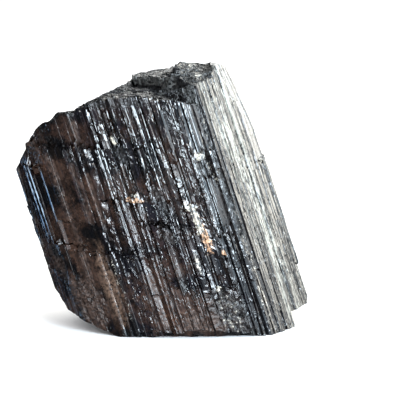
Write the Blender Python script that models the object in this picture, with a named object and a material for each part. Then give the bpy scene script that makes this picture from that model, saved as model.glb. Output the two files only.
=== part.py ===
"""A black tourmaline crystal: one stout, ribbed prism that leans, with a stepped, broken top.

The prism is drawn as a ribbed outline and extruded along the crystal's long axis. What the rock
broke away is then cut off it: the terraces of the top, ledges and level cracks in the walls, pits,
chipped rims, and the flat base that the crystal stands on.

Lengths in the tables are millimetres, and the helpers turn them into metres. The crystal has an
axis frame of its own: x to the right, y to the back, z up the leaning long axis.
"""

import math

import bmesh
import bpy
import numpy as np
from mathutils import Matrix, Vector

MM = 0.001

# Driving dimensions
LEAN = math.radians(18.0)  # the long axis leans this far towards -X
FOOT = (5.70, -0.93, 0.0)  # where the long axis meets the ground, so that the origin is mid-footprint
PRISM_LOW, PRISM_HIGH = -20.0, 64.0  # the uncut prism, longer than the crystal at both ends
OUTSIDE = 9.0  # how far a cutter reaches out of the wall that it cuts

# Corners of the prism's section, seen down the long axis, from the left edge round by the front
SECTION = [
    (-24.4, 1.0), (-22.5, -8.0), (-15.5, -15.0), (-4.0, -18.5), (8.0, -18.8), (15.5, -14.5),
    (21.0, -5.0), (25.0, 6.0), (22.0, 15.0), (10.0, 20.5), (-6.0, 20.0), (-18.5, 13.0),
]

# Ribs: flat strips that face only in the crystal's own directions, a fixed angle apart
FACE_STEP = math.radians(30.0)
RIB_WIDTHS = (0.9, 2.9)
RIB_LEVELS = (0.0, -0.3, -0.6, -1.0)
RIB_SEED = 11
FLAT_SIDE, FLAT_SHARE = (53.0, 88.0), 0.35  # where along the section the levels differ less
QUIET_SIDE, QUIET_SHARE = (9.0, 22.0), 0.3  # and once more at the left
RIB_WALL = 0.03  # the wall between two ribs of unlike levels spreads over this much of the section

# Terraces of the broken top: footprint in the axis frame, a world point on the floor, and the
# direction and angle that the floor dips
FAR = 40.0
EVERYWHERE = [(-FAR, -FAR), (FAR, -FAR), (FAR, FAR), (-FAR, FAR)]
STEP_WALL = [
    (16.7, -13.7), (15.6, -10.8), (12.5, -5.6), (9.6, -1.8), (8.7, 1.6), (5.8, 5.2), (3.4, 8.0), (2.4, FAR),
]
CREST = [(19.9, -8.6), (20.6, -4.8), (20.7, FAR)]  # where the column's broken top meets its right rim
TERRACES = {
    "crown": (EVERYWHERE, (6.5, 2, 54.4), (0, 1, 0), 0.5),
    "crown_back": (EVERYWHERE, (6.5, 2, 54.0), (-0.1, 1, 0), 12.0),
    "crown_front": (
        [(-FAR, -FAR), (19.9, -FAR), *CREST, (-FAR, FAR)],
        (6.5, 2, 54.0), (0.5, -1, 0), 9.5,
    ),
    "front_terrace": (
        [(-FAR, -FAR), (16.7, -FAR), *STEP_WALL, (-FAR, FAR)],
        (-4, -18, 50.2), (-0.8, 0.6, 0), 5.0,
    ),
    "right_terrace": (
        [(5.6, -FAR), (16.7, -FAR), *STEP_WALL[:4], (7.2, -1.9)],
        (-2.5, -18, 50.0), (1, 0.25, 0), 12.0,
    ),
    "rear_ledge": (
        [(-FAR, FAR), (-FAR, -1.0), (9.6, -1.8), (12.4, -5.7), (13.6, -4.2), (12.6, 3.4), (13.4, FAR)],
        (-0.5, -2, 51.9), (-1, 0.3, 0), 10.0,
    ),
    "column_shoulder": (
        [(20.2, -FAR), (FAR, -FAR), (FAR, FAR), (19.4, FAR)],
        (10.4, 4, 54.0), (1, 0.3, 0), 24.0,
    ),
    "crest_end": (
        [(19.4, -FAR), (FAR, -FAR), (FAR, FAR), (19.4, FAR)],
        (10, -4.5, 54.3), (0.1, -1, 0), 24.0,
    ),
    "column_rim": (
        [(22.6, -FAR), (FAR, -FAR), (FAR, FAR), (22.2, FAR)],
        (13.1, 3, 52.6), (1, -0.1, 0), 50.0,
    ),
    "column_corner": (
        [(12.4, -FAR), (17.5, -FAR), (17.5, FAR), (13.4, FAR), (12.6, 3.4), (13.6, -4.2), (12.4, -5.7)],
        (2.6, 0, 53.7), (-1, 0.2, 0), 35.0,
    ),
    "left_slope": (
        [(-9.7, -FAR), (1.6, -FAR), (2.6, FAR), (-10.1, FAR), (-8.9, -5)],
        (-11.6, -4.4, 48.4), (-0.94, 0.24, 0), 27.0,
    ),
    "left_step": (
        [(-FAR, -FAR), (-9.2, -FAR), (-8.4, -5), (-9.6, FAR), (-FAR, FAR)],
        (-19, -3, 44.6), (-0.5, 0.87, 0), 10.0,
    ),
    "left_notch": (
        [(-FAR, -FAR), (-14.0, -FAR), (-14.0, FAR), (-FAR, FAR)],
        (-23.5, -3, 42.3), (-0.5, 0.87, 0), 10.0,
    ),
    "notch_bevel": (
        [(-14.4, -FAR), (-10, -FAR), (-10, FAR), (-14.4, FAR)],
        (-21.1, -4, 45.2), (-1, 0.1, 0), 48.0,
    ),
    "left_bevel": (
        [(-FAR, -FAR), (-12, -FAR), (-12, FAR), (-FAR, FAR)],
        (-22.4, -4, 44.7), (-1, 0.15, 0), 44.0,
    ),
    "left_rim": (
        [(-FAR, -FAR), (-14, -FAR), (-14, FAR), (-FAR, FAR)],
        (-26.1, -4, 41.0), (-1, 0.1, 0), 63.0,
    ),
    "rear_ledge_end": (
        [(-FAR, -4), (5.0, -4), (3.8, 4.4), (2.8, FAR), (-FAR, FAR)],
        (-5, 8, 50.2), (-1, 0.5, 0), 16.0,
    ),
    "rear_slope": ([(-FAR, 8), (FAR, 9), (FAR, FAR), (-FAR, FAR)], (0, 13, 51.5), (-0.2, 1, 0), 36.0),
}

# Where the foot broke off under an overhang: the same, with a ceiling that faces down
OVERHANGS = {
    "right_toe": ([(19.9, -FAR), (FAR, -FAR), (FAR, FAR), (21.4, FAR)], (28, 0, 3.2), (1, 0, 0), 176.0),
    "left_heel": (
        [(-FAR, -2.0), (-21.0, -2.0), (-20.4, FAR), (-FAR, FAR)],
        (-20, 0, 5.2), (-1, 0, 0), 170.0,
    ),
}

# Ledges: from and to along the section, lower and upper level of the level breaks, and depth
LEDGES = {
    "shoulder_recess": (3.0, 27.0, 39.2, 60.0, 2.0),
    "shoulder_chip": (9.0, 16.5, 43.0, 60.0, 2.4),
    "shoulder_side": (19.5, 29.6, 39.8, 60.0, 1.3),
    "shoulder_low": (5.5, 17.0, 34.6, 39.4, 0.9),
    "window": (29.6, 35.6, 29.4, 39.4, 0.9),
    "window_foot": (34.0, 39.5, 24.2, 31.0, 1.3),
    "slate_break": (47.5, 52.6, 33.0, 38.2, 1.2),
    "gutter": (53.2, 54.6, 21.0, 60.0, 0.8),
    "brown_plate_side": (24.8, 31.0, -6.0, 17.8, 0.9),
    "brown_plate_top": (15.5, 24.4, 17.6, 24.0, 0.8),
    "left_toe": (3.5, 12.0, -6.0, 12.5, 1.0),
    "foot_scar": (41.5, 48.5, -6.0, 10.4, 1.1),
    "mid_scar": (37.0, 41.0, 9.5, 19.5, 0.8),
    "right_rib_top": (66.0, 83.0, 33.4, 60.0, 0.9),
    "right_rib_break": (70.0, 81.0, -6.0, 11.6, 0.7),
    "back_upper": (88.0, 101.0, 30.0, 60.0, 1.6),
    "back_plate": (104.0, 113.0, -6.0, 21.0, 1.3),
    "back_window": (116.5, 121.5, 22.0, 36.0, 1.1),
    "back_toe": (124.0, 137.0, -6.0, 9.0, 1.8),
    "back_left_top": (126.0, 135.0, 30.5, 60.0, 1.2),
    "back_low": (92.0, 98.0, 6.0, 15.0, 0.9),
    "slate_plate": (48.4, 53.4, 38.3, 60.0, 0.5),
    "slate_low_plate": (48.0, 52.6, 21.5, 32.9, 0.5),
}

# Worn edges: the same as ledges, but with a depth that grows from nothing at the lower level
WORN = {
    "right_crest_worn": (66.0, 84.0, 33.4, 56.0, 2.75),
}

# Scars: more such ledges, spread by chance over all but the flat side, where thin ribs snapped off
SCAR_SEED = 5
SCAR_COUNT = 46
SCAR_WIDTHS = (0.9, 2.8)
SCAR_HEIGHTS = (3.0, 15.0)
SCAR_DEPTHS = (0.45, 1.0)
SCAR_LEVELS = (1.0, 50.0)

# Cracks: from and to along the section, level, opening, and depth
CRACKS = {
    "crack_high": (29.0, 39.6, 39.8, 0.45, 1.3),
    "crack_middle": (26.5, 34.5, 28.7, 0.45, 1.2),
    "crack_centre": (32.5, 42.5, 23.8, 0.5, 1.4),
    "crack_left": (10.5, 21.5, 18.6, 0.5, 1.5),
    "crack_left_inner": (20.0, 29.6, 17.6, 0.45, 1.3),
    "crack_low": (30.5, 35.5, 9.2, 0.45, 1.1),
    "crack_shoulder": (7.5, 14.5, 34.5, 0.4, 1.2),
    "crack_back": (96.0, 108.0, 27.5, 0.5, 1.5),
    "crack_back_low": (113.0, 124.0, 14.5, 0.5, 1.4),
    "crack_back_left": (127.0, 137.5, 22.0, 0.45, 1.3),
}

# Pits and chipped rims: place along the section, level, radius, and depth of the centre
PITS = {
    "foot": [(43.0, 6.5, 1.3, 0.2), (45.6, 4.0, 1.1, 0.3), (44.0, 2.4, 1.0, 0.2), (46.8, 7.6, 0.9, 0.1)],
    "centre": [(37.2, 21.8, 1.0, 0.2), (38.4, 20.6, 0.8, 0.1), (36.4, 20.0, 0.7, 0.1)],
    "left": [(12.0, 11.5, 1.3, 0.3), (9.5, 25.0, 0.8, 0.2), (14.8, 8.6, 1.0, 0.3)],
    "seam": [(49.6, 37.2, 1.1, 0.3), (53.6, 30.5, 0.9, 0.2), (54.0, 24.0, 0.9, 0.2)],
    "rim": [
        (27.5, 48.6, 1.3, -0.2), (33.0, 48.8, 1.0, 0.0), (40.5, 48.5, 1.4, -0.2), (46.0, 48.4, 1.0, 0.1),
    ],
    "back": [
        (100.0, 22.0, 1.2, 0.3), (110.0, 33.0, 1.4, 0.2), (119.0, 18.0, 1.1, 0.3), (133.0, 15.0, 1.2, 0.2),
    ],
    "column_rim": [(55.5, 50.8, 1.2, 0.2), (60.5, 52.4, 1.1, 0.1), (66.0, 50.4, 1.3, 0.3)],
}

# Crumbled floors: the terrace, the world rectangle that crumbled, how many bits, and their size
CRUMBS = {
    "column_crumb": ("crown_front", (3.6, -11.0, 9.2, 3.0), 20, (0.8, 1.9)),
    "ledge_crumb": ("rear_ledge", (-3.5, 1.5, 1.8, 10.0), 10, (0.7, 1.5)),
    "terrace_crumb": ("front_terrace", (-9.5, -15.0, -3.0, -1.0), 14, (0.6, 1.3)),
    "front_crumb": ("right_terrace", (-1.0, -17.0, 5.0, -11.0), 8, (0.6, 1.2)),
    "slope_crumb": ("left_slope", (-17.5, -8.0, -13.5, 6.0), 8, (0.6, 1.4)),
}
CRUMB_SEED = 7

# Planes that trim the foot: a world point on the plane and the way it faces
FOOT_TRIMS = {
    "ground": ((0, 0, 0), (0, 0, -1)),
    "left_toe_trim": ((-12.0, 0, 0), (-0.36, -0.06, -0.93)),
    "left_heel_trim": ((-18.6, 0, 2.6), (-0.8, 0.1, -0.6)),
    "front_toe_trim": ((0, -17.6, 0), (-0.03, -0.5, -0.85)),
    "right_front_trim": ((14.0, -16.4, 0), (0.04, -0.56, -0.80)),
    "back_toe_trim": ((0, 17.5, 0), (-0.1, 0.55, -0.82)),
}

TOURMALINE_BLACK = (0.013, 0.013, 0.015, 1.0)
TOURMALINE_ROUGHNESS = 0.22


def clear_scene():
    for old in list(bpy.data.objects):
        bpy.data.objects.remove(old)


def new_collection(name):
    collection = bpy.data.collections.new(name)
    bpy.context.scene.collection.children.link(collection)
    return collection


def smooth_loop(corners, steps=24):
    """A closed Catmull-Rom curve through the corners, with this many points from one to the next."""
    p0, p1, p2, p3 = (np.roll(corners, k, axis=0)[:, None] for k in (1, 0, -1, -2))
    t = np.linspace(0, 1, steps, endpoint=False)[None, :, None]
    a, b, c = p2 - p0, 2 * p0 - 5 * p1 + 4 * p2 - p3, 3 * p1 - p0 - 3 * p2 + p3
    return ((2 * p1 + a * t + b * t**2 + c * t**3) / 2).reshape(-1, 2)


class Section:
    """The prism's section without its ribs, as a closed curve that is read by its arc length."""

    def __init__(self, corners):
        loop = smooth_loop(np.array(corners, float))
        sides = np.linalg.norm(np.roll(loop, -1, axis=0) - loop, axis=1)
        self.length = sides.sum()
        self.along = np.concatenate([[0], np.cumsum(sides)])
        self.loop = np.vstack([loop, loop[:1]])

    def point(self, u):
        u = np.mod(u, self.length)
        return np.stack([np.interp(u, self.along, self.loop[:, k]) for k in (0, 1)], axis=-1)

    def tangent(self, u, reach=0.8):
        across = self.point(np.asarray(u) + reach) - self.point(np.asarray(u) - reach)
        return across / np.linalg.norm(across, axis=-1, keepdims=True)

    def normal(self, u):
        along = self.tangent(u)
        return np.stack([along[..., 1], -along[..., 0]], axis=-1)

    def heading(self, u):
        """The way that the wall faces: 0 to the front, positive to the right."""
        normal = self.normal(u)
        return np.arctan2(normal[..., 0], -normal[..., 1])


def ribbed_outline(section):
    """The section with its ribs. Each rib is a roof of two flat strips, whose directions are the
    crystal's two nearest face directions, and the roof's peak divides the rib so that both fit."""
    random = np.random.default_rng(RIB_SEED)
    widths = random.uniform(*RIB_WIDTHS, 120)
    edges = np.concatenate([[0], np.cumsum(widths)])
    count = int(np.argmax(edges > section.length))
    edges = edges[: count + 1] * section.length / edges[count]
    middle, width = (edges[1:] + edges[:-1]) / 2, np.diff(edges)
    heading = section.heading(middle)
    low = np.floor(heading / FACE_STEP) * FACE_STEP
    rise, fall = np.tan(heading - low), np.tan(low + FACE_STEP - heading)
    peak = fall / (rise + fall)
    level = random.choice(RIB_LEVELS, count)
    level = np.where((middle > FLAT_SIDE[0]) & (middle < FLAT_SIDE[1]), FLAT_SHARE * level, level)
    level = np.where((middle > QUIET_SIDE[0]) & (middle < QUIET_SIDE[1]), QUIET_SHARE * level, level)
    top = edges[:-1] + np.clip(peak, 0.12, 0.88) * width
    u = np.stack([edges[:-1] + RIB_WALL, top, edges[1:] - RIB_WALL], 1)
    height = np.stack([level, level + peak * width * rise, level], 1)
    return (section.point(u) + section.normal(u) * height[..., None]).reshape(-1, 2)


def prism(name, outline, low, high, collection):
    """A flat outline in millimetres, extruded along z from low to high, as a closed mesh object."""
    curve = bpy.data.curves.new(name + "_outline", "CURVE")
    curve.dimensions = "2D"
    curve.fill_mode = "BOTH"
    curve.extrude = (high - low) / 2 * MM
    spline = curve.splines.new("POLY")
    spline.points.add(len(outline) - 1)
    for point, (x, y) in zip(spline.points, outline):
        point.co = (x * MM, y * MM, 0, 1)
    spline.use_cyclic_u = True
    drawn = bpy.data.objects.new(name + "_outline", curve)
    collection.objects.link(drawn)
    bpy.context.view_layer.update()
    mesh = bpy.data.meshes.new_from_object(drawn.evaluated_get(bpy.context.evaluated_depsgraph_get()))
    bpy.data.objects.remove(drawn)
    shape = bmesh.new()
    shape.from_mesh(mesh)
    bmesh.ops.remove_doubles(shape, verts=shape.verts, dist=0.00001)
    bmesh.ops.translate(shape, verts=shape.verts, vec=(0, 0, (low + high) / 2 * MM))
    bmesh.ops.recalc_face_normals(shape, faces=shape.faces)
    shape.to_mesh(mesh)
    shape.free()
    mesh.shade_flat()
    solid = bpy.data.objects.new(name, mesh)
    collection.objects.link(solid)
    return solid


def tilted(direction, angle):
    """The normal of a floor that dips by angle, in degrees, towards a level direction."""
    level = Vector(direction).normalized()
    return Vector((0, 0, 1)) * math.cos(math.radians(angle)) + level * math.sin(math.radians(angle))


def terrace_cutter(name, footprint, point, direction, angle, axis, collection):
    """All that stands above a dipping floor, within a footprint whose walls follow the long axis.
    A dip of more than 90 degrees turns the floor into a ceiling, and takes what hangs below it."""
    cutter = prism(name, footprint, PRISM_LOW, PRISM_HIGH + OUTSIDE, collection)
    to_axis = axis.matrix_world.inverted()
    floor_point = to_axis @ (Vector(point) * MM)
    floor_normal = to_axis.to_3x3() @ tilted(direction, angle)
    shape = bmesh.new()
    shape.from_mesh(cutter.data)
    everything = shape.verts[:] + shape.edges[:] + shape.faces[:]
    bmesh.ops.bisect_plane(
        shape, geom=everything, plane_co=floor_point, plane_no=floor_normal, clear_inner=True
    )
    bmesh.ops.holes_fill(shape, edges=shape.edges)
    bmesh.ops.recalc_face_normals(shape, faces=shape.faces)
    shape.to_mesh(cutter.data)
    shape.free()
    cutter.parent = axis
    return cutter


def height_along_axis(section, u, level):
    """Where on the long axis the wall at u reaches a level above the ground."""
    return (level - section.point(u)[..., 0] * math.sin(LEAN)) / math.cos(LEAN)


def place_on_wall(cutter, section, u, height, out, axis):
    """Turns a cutter so that its x runs along the section, its y up the axis and its z outwards."""
    point, along, outward = section.point(u), section.tangent(u), section.normal(u)
    turn = Matrix(((along[0], 0, outward[0]), (along[1], 0, outward[1]), (0, 1, 0)))
    cutter.parent = axis
    place = Vector((point[0] + outward[0] * out, point[1] + outward[1] * out, height)) * MM
    cutter.matrix_local = Matrix.Translation(place) @ turn.to_4x4()
    return cutter


def wall_cutter(name, section, start, end, low, high, depth, axis, collection, tapered=False):
    """A block that takes a layer off the wall between two level breaks, each a little jagged. A
    tapered block takes nothing at its lower end, and ever more from there up."""
    middle = (start + end) / 2
    corners = [
        (start, low, 0.0), (middle, low, 0.35), (end, low, 0.0),
        (end, high, 0.0), (middle, high, 0.3), (start, high, 0.0),
    ]
    centre = height_along_axis(section, middle, (low + high) / 2)
    lean_slope = math.tan(LEAN) * section.tangent(middle)[0]
    outline = []
    for u, level, jag in corners:
        x = u - middle
        y = (level - (low + high) / 2) / math.cos(LEAN) - x * lean_slope + jag * min(1.0, high - low)
        outline.append((x, y))
    cutter = prism(name, outline, -depth, OUTSIDE, collection)
    if tapered:
        tall = (high - low) / math.cos(LEAN) * MM
        for vertex in cutter.data.vertices:
            if vertex.co.z < 0:
                vertex.co.z = -depth * MM * (vertex.co.y / tall + 0.5)
    return place_on_wall(cutter, section, middle, centre, 0, axis)


def pit_cutter(name, section, u, level, radius, depth, axis, collection):
    """A small lumpy hollow in the wall."""
    shape = bmesh.new()
    bmesh.ops.create_icosphere(shape, subdivisions=1, radius=radius * MM)
    bmesh.ops.scale(shape, vec=(0.8, 1.3, 1.0), verts=shape.verts)
    mesh = bpy.data.meshes.new(name)
    shape.to_mesh(mesh)
    shape.free()
    cutter = bpy.data.objects.new(name, mesh)
    collection.objects.link(cutter)
    return place_on_wall(cutter, section, u, height_along_axis(section, u, level), -depth, axis)


def crumb_cutters(name, floor, area, count, sizes, random, collection):
    """Angular hollows, each a turned cube, where a terrace's floor crumbled."""
    _, point, direction, angle = floor
    normal = tilted(direction, angle)
    for number in range(1, count + 1):
        x, y = random.uniform(area[0], area[2]), random.uniform(area[1], area[3])
        size = random.uniform(*sizes)
        z = point[2] - (normal.x * (x - point[0]) + normal.y * (y - point[1])) / normal.z
        shape = bmesh.new()
        bmesh.ops.create_cube(shape, size=size * MM)
        mesh = bpy.data.meshes.new(f"{name}_{number}")
        shape.to_mesh(mesh)
        shape.free()
        cutter = bpy.data.objects.new(f"{name}_{number}", mesh)
        collection.objects.link(cutter)
        cutter.location = Vector((x, y, z)) * MM
        cutter.rotation_euler = random.uniform(0, math.tau, 3)


def scars(section):
    """The chance ledges, as rows like those of the table."""
    random = np.random.default_rng(SCAR_SEED)
    found = {}
    for number in range(1, SCAR_COUNT + 1):
        start, width = random.uniform(0, section.length), random.uniform(*SCAR_WIDTHS)
        low, height = random.uniform(*SCAR_LEVELS), random.uniform(*SCAR_HEIGHTS)
        depth = random.uniform(*SCAR_DEPTHS)
        if not FLAT_SIDE[0] - width < start < FLAT_SIDE[1]:
            found[f"scar_{number}"] = (start, start + width, low, low + height, depth)
    return found


def plane_cutter(name, point, facing, collection):
    """A large block whose near face lies in a plane, for all that is beyond that plane."""
    size = 3 * FAR * MM
    shape = bmesh.new()
    bmesh.ops.create_cube(shape, size=size)
    bmesh.ops.translate(shape, verts=shape.verts, vec=(0, 0, size / 2))
    mesh = bpy.data.meshes.new(name)
    shape.to_mesh(mesh)
    shape.free()
    cutter = bpy.data.objects.new(name, mesh)
    collection.objects.link(cutter)
    cutter.location = Vector(point) * MM
    cutter.rotation_euler = Vector(facing).to_track_quat("Z", "Y").to_euler()
    return cutter


def tourmaline():
    material = bpy.data.materials.new("black_tourmaline")
    material.use_nodes = True
    shader = material.node_tree.nodes["Principled BSDF"]
    shader.inputs["Base Color"].default_value = TOURMALINE_BLACK
    shader.inputs["Roughness"].default_value = TOURMALINE_ROUGHNESS
    shader.inputs["Metallic"].default_value = 0.0
    material.diffuse_color = TOURMALINE_BLACK
    return material


def build():
    clear_scene()
    parts, cutters = new_collection("tourmaline"), new_collection("cutters")
    axis = bpy.data.objects.new("long_axis", None)
    parts.objects.link(axis)
    axis.location = Vector(FOOT) * MM
    axis.rotation_euler = (0, -LEAN, 0)
    bpy.context.view_layer.update()

    section = Section(SECTION)
    crystal = prism("tourmaline_crystal", ribbed_outline(section), PRISM_LOW, PRISM_HIGH, parts)
    crystal.parent = axis
    crystal.data.materials.append(tourmaline())

    for name, (footprint, point, direction, angle) in {**TERRACES, **OVERHANGS}.items():
        terrace_cutter(name, footprint, point, direction, angle, axis, cutters)
    for name, (start, end, low, high, depth) in {**LEDGES, **scars(section)}.items():
        wall_cutter(name, section, start, end, low, high, depth, axis, cutters)
    for name, (start, end, low, high, depth) in WORN.items():
        wall_cutter(name, section, start, end, low, high, depth, axis, cutters, tapered=True)
    for name, (start, end, level, opening, depth) in CRACKS.items():
        low, high = level - opening / 2, level + opening / 2
        wall_cutter(name, section, start, end, low, high, depth, axis, cutters)
    for group, pits in PITS.items():
        for number, (u, level, radius, depth) in enumerate(pits, 1):
            pit_cutter(f"pit_{group}_{number}", section, u, level, radius, depth, axis, cutters)
    random = np.random.default_rng(CRUMB_SEED)
    for name, (floor, area, count, sizes) in CRUMBS.items():
        crumb_cutters(name, TERRACES[floor], area, count, sizes, random, cutters)
    for name, (point, facing) in FOOT_TRIMS.items():
        plane_cutter(name, point, facing, cutters)
    for cutter in cutters.objects:
        cutter.hide_render = True
        cutter.display_type = "WIRE"

    broken = crystal.modifiers.new("broken_away", "BOOLEAN")
    broken.operation = "DIFFERENCE"
    broken.operand_type = "COLLECTION"
    broken.collection = cutters
    broken.solver = "EXACT"


build()
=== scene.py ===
# %% [markdown]
# # A black tourmaline crystal
# Tourmaline grows as a long prism. Its sides are never smooth: the faces of the prism take turns, a
# fraction of a millimetre at a time, and leave ribs that run the whole length of the crystal. Across
# its length it parts along level breaks, so old cracks, ledges and stepped ends cut the ribs square.
#
# A sculptor would carve this into a dense ball of clay. Here it is worked out instead: every rib and
# every break is a rule, and the rules together give one closed surface.

# %% Load the crystal's solid and keep its box
import math

import bpy
import numpy as np
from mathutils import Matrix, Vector


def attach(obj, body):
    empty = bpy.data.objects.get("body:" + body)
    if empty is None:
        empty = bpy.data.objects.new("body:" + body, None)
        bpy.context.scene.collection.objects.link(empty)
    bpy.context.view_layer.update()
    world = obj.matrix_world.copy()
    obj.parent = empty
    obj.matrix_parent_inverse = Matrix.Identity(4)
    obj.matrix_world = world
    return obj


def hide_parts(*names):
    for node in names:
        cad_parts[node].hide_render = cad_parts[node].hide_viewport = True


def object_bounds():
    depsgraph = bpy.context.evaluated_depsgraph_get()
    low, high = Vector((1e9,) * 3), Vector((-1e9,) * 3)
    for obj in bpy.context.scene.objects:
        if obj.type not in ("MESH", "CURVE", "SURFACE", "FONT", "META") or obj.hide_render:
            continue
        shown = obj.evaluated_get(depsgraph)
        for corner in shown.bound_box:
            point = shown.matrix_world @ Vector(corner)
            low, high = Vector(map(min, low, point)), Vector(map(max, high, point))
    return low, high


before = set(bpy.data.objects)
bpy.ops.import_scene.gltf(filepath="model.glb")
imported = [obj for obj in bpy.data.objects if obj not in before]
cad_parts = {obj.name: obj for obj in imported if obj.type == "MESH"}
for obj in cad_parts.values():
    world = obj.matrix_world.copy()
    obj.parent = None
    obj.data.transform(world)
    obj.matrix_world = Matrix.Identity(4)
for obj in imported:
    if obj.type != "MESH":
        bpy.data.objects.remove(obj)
cad_box = [[float(v) for v in corner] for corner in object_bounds()]
MM = 0.001  # lengths are in millimetres, and this turns them into metres
print("solid, mm:", [[round(v / MM, 1) for v in corner] for corner in cad_box])

# %% [markdown]
# ## Camera
# A long lens far away keeps the ribs almost parallel, as in a close photograph of a small stone. It
# looks down by ten degrees, so that a little of the broken top shows.

# %% The camera
LENS, SENSOR = 400.0, 36.0
FRAME_WIDTH = 83.04 * MM  # how much of the world the picture is wide, at the crystal
LOOK_DOWN = math.radians(10.0)
AIM = Vector((7.59, -0.93, 25.7)) * MM

distance = FRAME_WIDTH * LENS / SENSOR
camera = bpy.data.objects.new("camera", bpy.data.cameras.new("camera"))
bpy.context.scene.collection.objects.link(camera)
camera.data.lens, camera.data.sensor_width = LENS, SENSOR
camera.data.clip_start, camera.data.clip_end = 0.01, 20.0
camera.location = AIM + Vector((0, -math.cos(LOOK_DOWN), math.sin(LOOK_DOWN))) * distance
camera.rotation_euler = (math.radians(90) - LOOK_DOWN, 0, 0)
bpy.context.scene.camera = camera
print(f"camera {distance:.3f} m away")

# %% [markdown]
# ## The section
# Seen down its length, a tourmaline is a rounded triangle. Twelve corners and a smooth curve through
# them give this one's outline. Everything on the wall is placed by its distance round that curve and
# by its level above the ground, as a tailor measures cloth along and across.

# %% The section curve, and the crystal's leaning long axis
LEAN = math.radians(18.0)
FOOT = np.array([5.70, -0.93, 0.0])
AXIS = np.array([-math.sin(LEAN), 0.0, math.cos(LEAN)])
ACROSS = np.array([math.cos(LEAN), 0.0, math.sin(LEAN)])
BACK = np.array([0.0, 1.0, 0.0])
SECTION = [
    (-24.4, 1.0), (-22.5, -8.0), (-15.5, -15.0), (-4.0, -18.5), (8.0, -18.8), (15.5, -14.5),
    (21.0, -5.0), (25.0, 6.0), (22.0, 15.0), (10.0, 20.5), (-6.0, 20.0), (-18.5, 13.0),
]


def smooth_loop(corners, steps=24):
    """A closed Catmull-Rom curve: between two corners, a cubic whose slope at each corner is half of
    the line between that corner's neighbours."""
    p0, p1, p2, p3 = (np.roll(corners, k, axis=0)[:, None] for k in (1, 0, -1, -2))
    t = np.linspace(0, 1, steps, endpoint=False)[None, :, None]
    a, b, c = p2 - p0, 2 * p0 - 5 * p1 + 4 * p2 - p3, 3 * p1 - p0 - 3 * p2 + p3
    return ((2 * p1 + a * t + b * t**2 + c * t**3) / 2).reshape(-1, 2)


loop = smooth_loop(np.array(SECTION))
side_lengths = np.linalg.norm(np.roll(loop, -1, axis=0) - loop, axis=1)
ROUND = side_lengths.sum()
loop_along = np.concatenate([[0], np.cumsum(side_lengths)])
loop_closed = np.vstack([loop, loop[:1]])


def curve_point(u):
    """The point at distance u round the section, in the axis frame."""
    u = np.mod(u, ROUND)
    return np.stack([np.interp(u, loop_along, loop_closed[:, k]) for k in (0, 1)], axis=-1)


def curve_normal(u, reach=0.8):
    """The outward normal: the chord between two points a little to each side, turned by a quarter."""
    chord = curve_point(np.asarray(u) + reach) - curve_point(np.asarray(u) - reach)
    chord = chord / np.linalg.norm(chord, axis=-1, keepdims=True)
    return np.stack([chord[..., 1], -chord[..., 0]], axis=-1)


def to_world(p, q, s):
    """Axis frame to world: the foot, plus p to the right, q to the back and s up the long axis."""
    return FOOT + p[..., None] * ACROSS + q[..., None] * BACK + s[..., None] * AXIS


print(f"section {ROUND:.1f} mm round")

# %% [markdown]
# ## Ribs
# The prism's faces point in a few fixed directions, thirty degrees apart. Where the curve of the
# section runs between two of them, the crystal makes do with both in turn, which gives a rib: a roof
# of two flat strips. The same rule, used again on a finer scale, gives the striations on each strip.

# %% Main ribs
FACE_STEP = math.radians(30.0)
RIB_SEED, RIB_WIDTHS = 11, (0.9, 2.9)
RIB_LEVELS = (0.0, -0.3, -0.6, -1.0)  # where the edges of a rib lie, over the section
PEAK_RANGE = (0.12, 0.88)  # where its peak may lie, as a share of its width
FLAT_SIDE, FLAT_SHARE = (53.0, 88.0), 0.35  # where along the section the levels differ less
QUIET_SIDE, QUIET_SHARE = (9.0, 22.0), 0.3  # and once more at the left
RIB_WALL = 0.03  # half the width of the step between two ribs


def main_ribs():
    """Edges of the ribs, and the knots of the outline's height over the section: for each rib its
    level at both edges, and its peak, which divides the width so that both slopes fit."""
    random = np.random.default_rng(RIB_SEED)
    widths = random.uniform(*RIB_WIDTHS, 120)
    edges = np.concatenate([[0], np.cumsum(widths)])
    count = int(np.argmax(edges > ROUND))
    edges = edges[: count + 1] * ROUND / edges[count]
    middle, width = (edges[1:] + edges[:-1]) / 2, np.diff(edges)
    normal = curve_normal(middle)
    heading = np.arctan2(normal[:, 0], -normal[:, 1])
    low = np.floor(heading / FACE_STEP) * FACE_STEP
    rise, fall = np.tan(heading - low), np.tan(low + FACE_STEP - heading)
    peak = fall / (rise + fall)
    level = random.choice(RIB_LEVELS, count)
    for (start, end), share in ((FLAT_SIDE, FLAT_SHARE), (QUIET_SIDE, QUIET_SHARE)):
        level = np.where((middle > start) & (middle < end), share * level, level)
    at_peak = edges[:-1] + np.clip(peak, *PEAK_RANGE) * width
    knots = np.stack([edges[:-1] + RIB_WALL, at_peak, edges[1:] - RIB_WALL], 1)
    heights = np.stack([level, level + peak * width * rise, level], 1)
    return knots, heights


knots, knot_heights = main_ribs()


def rib_height(u):
    """How far the main ribs stand out of the section at u."""
    return np.interp(np.mod(u, ROUND), knots.ravel(), knot_heights.ravel())


print(len(knots), "main ribs")

# %% Striations: each strip of a rib is cut into narrow bars
# Where along the section, how wide the bars are, how much they differ in height, and how far in
# degrees they turn out of their strip's direction
FACES = [
    (0.0, 1.1, 0.9, 8.0),
    (9.0, 1.1, 0.3, 2.0),
    (22.0, 1.1, 0.6, 3.0),
    (25.0, 0.62, 1.0, 12.0),
    (46.0, 0.5, 0.7, 9.0),
    (53.0, 0.8, 0.4, 6.0),
    (88.0, 1.6, 1.0, 6.0),
]
PLAIN_SHARE = 0.2  # strips that stay one plain bar
PITCH_SPREAD, WIDTH_SPREAD = (0.75, 1.25), (0.6, 1.4)
FRONT_END = 88.0  # from here on the wall is at the back


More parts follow.
